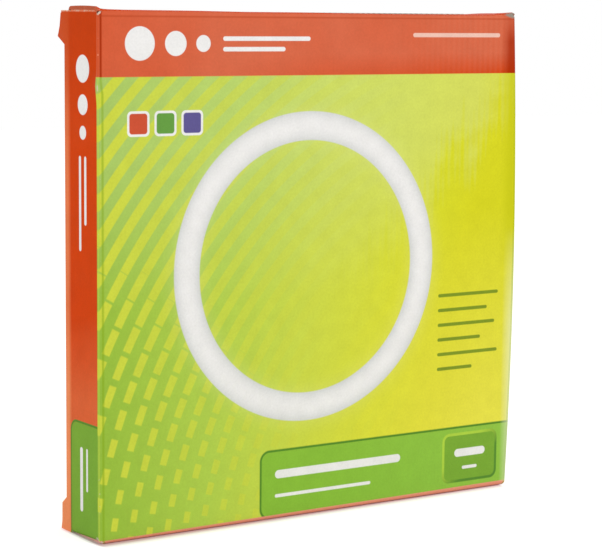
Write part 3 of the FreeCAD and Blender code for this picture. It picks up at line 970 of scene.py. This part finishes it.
# %% Bare board and cut edges
def make_brown_inside(name, tone):
    material, shader, place = start_finish(name, Specular_IOR_Level=0.2)
    x = in_millimetres(place)[0]
    fibres = place.make("ShaderNodeMapping", {}, {"Vector": place, "Scale": (1.0, 1.0, 0.25)})
    colour = paint(tint(*tone), shade_of(tone, 0.78), grain(fibres, 1500, 3.0, 0.7))
    colour = paint(colour, shade_of(tone, 1.18), grain(fibres, 5200).step(0.68, 0.08) * 0.5)
    # Reddish orange near the ends.
    colour = paint(colour, tint(206, 116, 84), abs(x).step(115.4, 0.6))
    plug(shader, Base_Color=colour, Normal=board_bump(place, x, strength=0.4),
         Roughness=grain(place, 300) * 0.1 + 0.8)
    return material


def make_raw_edge(name, tone, flutes_on_sides):
    material, shader, place = start_finish(name, Specular_IOR_Level=0.1)
    x, y = in_millimetres(place)[:2]
    to_x, _, to_z = split(place.make("ShaderNodeNewGeometry", {}, {}, "Normal"))
    across_x = abs(to_x).step(0.7, 0.2) * flute_wave(y) * flutes_on_sides
    # Painted shade in the flutes' hollows, which also dip in the bump.
    hollow_dip_and_shade = (abs(to_z).step(0.5, 0.2) * flute_wave(x) + across_x).step(0.25, 0.7)
    colour = paint(tint(*tone), shade_of(tone, 0.55), hollow_dip_and_shade * 0.8)
    colour = paint(colour, shade_of(tone, 1.2), grain(place, 2400).step(0.6, 0.1) * 0.5)
    plug(shader, Base_Color=colour, Normal=board_bump(place, x, hollow_dip_and_shade * -0.4, 0.6),
         Roughness=grain(place, 300) * 0.1 + 0.82)
    return material


printed_board = make_printed_board()
closure_print = make_closure_print()
brown_inside = make_brown_inside("brown_inside", (176, 148, 112))
raw_edge = make_raw_edge("raw_edge", (186, 174, 156), 1.0)
rubbed_edge = make_raw_edge("rubbed_edge", (198, 98, 66), 0.0)
# The bottom closure's edge lies in shade at the foot and is painted pale, as lit.
lit_pale_edge = make_raw_edge("lit_pale_edge", (236, 180, 166), 0.0)
finishes = (
    (carton_shell, printed_board, raw_edge), (glue_strip, brown_inside, raw_edge),
    (top_board, closure_print, rubbed_edge), (top_crease, closure_print, rubbed_edge),
    (bottom_board, closure_print, lit_pale_edge), (bottom_crease, closure_print, rubbed_edge))
for piece, outside, edge in finishes:
    for index, material in enumerate((outside, brown_inside, edge)):
        piece.data.materials[index] = material
    print(piece.name, "wears", outside.name, "with", edge.name)

# %% [markdown]
# Inside the carton is a plain folded liner with the lamp between its leaves. Their CAD meshes are
# right as they are, so only their finishes are made here.

# %% Lamp and liner finishes
def make_opal_glass():
    material, shader, place = start_finish("opal_glass", IOR=1.52, Coat_Weight=0.3, Coat_Roughness=0.05)
    dust = grain(place, 260, 3.0, 0.7).step(0.6, 0.3)
    colour = paint(tint(240, 240, 236), tint(226, 226, 220), dust * 0.5)
    plug(shader, Base_Color=colour, Roughness=dust * 0.12 + 0.12,
         Normal=bump(place, 0.1, grain(place, 60) * 0.3))
    return material


def make_moulded_plastic(name, tone):
    material, shader, place = start_finish(name)
    tooth = grain(place, 3200)
    colour = paint(tint(*tone), shade_of(tone, 0.93), grain(place, 120, 3.0))
    plug(shader, Base_Color=colour, Roughness=tooth * 0.15 + 0.4, Normal=bump(place, 0.2, tooth * 0.05))
    return material


def make_drawn_brass():
    material, shader, place = start_finish("drawn_brass", Metallic=1.0)
    worn = grain(place, 900, 3.0)
    colour = paint(tint(214, 176, 106), tint(176, 136, 74), worn.step(0.55, 0.2) * 0.6)
    plug(shader, Base_Color=colour, Roughness=worn * 0.2 + 0.2)
    return material


white_plastic = make_moulded_plastic("white_plastic", (232, 232, 228))
node_finishes = {
    "inner_liner": make_brown_inside("liner_board", (170, 138, 100)), "lamp_tube": make_opal_glass(),
    "lamp_base_front": white_plastic, "lamp_base_back": white_plastic,
    "lamp_contact_plate": make_moulded_plastic("plate_plastic", (214, 214, 208)),
    "lamp_pins": make_drawn_brass()}
for name, material in node_finishes.items():
    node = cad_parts[name]
    node.data.materials.clear()
    node.data.materials.append(material)
    print(name, "wears", material.name)

# %% [markdown]
# Each piece but the creases now rides on its CAD body. The shell and the closures stand for their CAD nodes,
# and the creases stay where they are in the world.

# %% Riding on the bodies
riders = (
    (carton_shell, "carton", "carton_body", "printed_board"),
    (glue_strip, "carton", None, "printed_board"),
    (top_board, "top_closure", "top_flap", "printed_flap_top"),
    (bottom_board, "bottom_closure", "bottom_flap", "printed_flap_bottom"))
for piece, body, node, slot in riders:
    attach(piece, body)
    if node:
        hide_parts(node)
bends_between = (
    (top_crease, "top_closure", height, "printed_flap_top"),
    (bottom_crease, "bottom_closure", 0.0, "printed_flap_bottom"))
for crease, body, level, slot in bends_between:
    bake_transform(crease)
    print(crease.name, "bends between carton and", body)

# %% [markdown]
# The studio's floor is pale and dull. Rays straight from the camera or from gloss see it white, but that white
# fades out in the last few millimetres before the carton, where the floor's colour is a painted contact shadow
# with the warm tint of the real one.

# %% Floor
clear_selection()
bpy.ops.mesh.primitive_plane_add(size=6, location=(0, 0, 0))
floor = bpy.context.object
floor.name = "floor"
floor_finish, floor_shader, floor_place = start_finish(
    "floor_finish", Roughness=0.9, Specular_IOR_Level=0.0, Emission_Strength=1.0)


def seen_by(tree, *kinds):
    """1 for rays of these kinds, from the Light Path node, and 0 for the others."""
    rays = tree.nodes.new("ShaderNodeLightPath").outputs
    return sum(Value(rays[kind]) for kind in kinds).clamped()


floor_x, floor_y = split(floor_place)[:2]
outside_box = box_gap(floor_x, floor_y, -side, front, side, -front, 0.0)
past_right = (floor_x - side + 0.004).most(0.0) * 6
past_left = (0 - side - floor_x).most(0.0) * 2.0
behind = (floor_y - front).most(0.0) * 0.06
from_box = (outside_box + past_right + past_left + behind + floor_x * 0.010).most(0.0)
# A painted contact shadow: the floor's colour darkens and warms towards the carton.
contact = paint((0.74, 0.57, 0.58, 1), (0.92, 0.80, 0.86, 1), (from_box / 0.0035).clamped())
tone = paint(contact, (0.86, 0.86, 0.86, 1), (from_box / 0.014).clamped())
to_eye = seen_by(floor_finish.node_tree, "Is Camera Ray", "Is Glossy Ray")
plug(floor_shader, Base_Color=tone, Emission_Color=to_eye * (from_box / 0.0075).clamped() * 0.52)
floor.data.materials.append(floor_finish)
print("floor", [round(v, 2) for v in floor.dimensions])

# %% [markdown]
# An even world and two broad lamps light the carton at a plain level. Only rays from the camera,
# from gloss or through glass see the world as white, so the white backdrop adds no light to it.

# %% World and lamps
world = bpy.data.worlds.new("studio")
bpy.context.scene.world = world
world.use_nodes = True
background = world.node_tree.nodes["Background"]
background.inputs["Color"].default_value = (1, 1, 1, 1)
to_eye = seen_by(world.node_tree, "Is Camera Ray", "Is Glossy Ray", "Is Transmission Ray")
world.node_tree.links.new((to_eye * 0.35 + 0.65).socket, background.inputs["Strength"])


def add_lamp(name, place, aim, size, power):
    light = bpy.data.lights.new(name, "AREA")
    light.shape = "RECTANGLE"
    light.size, light.size_y = size
    light.energy = power
    lamp = bpy.data.objects.new(name, light)
    lamp.location = place
    lamp.rotation_euler = (Vector(aim) - Vector(place)).to_track_quat("-Z", "Y").to_euler()
    bpy.context.scene.collection.objects.link(lamp)
    print(name, "lamp", power, "W")


carton_middle = (0, 0, 0.12)
add_lamp("key", (0.75, -1.1, 0.95), carton_middle, (0.9, 0.7), 7.0)
add_lamp("fill", (-1.2, -0.5, 0.6), carton_middle, (0.9, 0.9), 4.5)

# %% [markdown]
# The camera was solved from the carton's corners in the photograph: 34 degrees round to the left,
# about 7 degrees above the carton's middle, with a long lens.

# %% Camera
yaw, pitch, lean = (math.radians(a) for a in (33.94, 7.25, 0.53))
focal_pixels, picture_width, sensor = 2096.0, 602.0, 36
level_right = Vector((math.cos(yaw), -math.sin(yaw), 0))
level_ahead = Vector((math.sin(yaw), math.cos(yaw), 0))
under = Vector((0, 0, -math.cos(pitch))) - level_ahead * math.sin(pitch)
ahead = Vector((0, 0, -math.sin(pitch))) + level_ahead * math.cos(pitch)
right = level_right * math.cos(lean) - under * math.sin(lean)
down = level_right * math.sin(lean) + under * math.cos(lean)
corner_seen = (-0.0906, 0.1199, 0.9474)
to_corner = right * corner_seen[0] + down * corner_seen[1] + ahead * corner_seen[2]
camera_place = Vector((-side, front, 0)) - to_corner

camera = bpy.data.objects.new("camera", bpy.data.cameras.new("camera"))
camera.data.sensor_fit = "HORIZONTAL"
camera.data.sensor_width = sensor
camera.data.lens = sensor * focal_pixels / picture_width
turned = Matrix((right, -down, -ahead)).transposed()
camera.matrix_world = Matrix.Translation(camera_place) @ turned.to_4x4()
bpy.context.scene.collection.objects.link(camera)
bpy.context.scene.camera = camera
bpy.context.scene.view_settings.view_transform = "Standard"
print("camera at", [round(c, 4) for c in camera_place], "lens", round(camera.data.lens, 2))
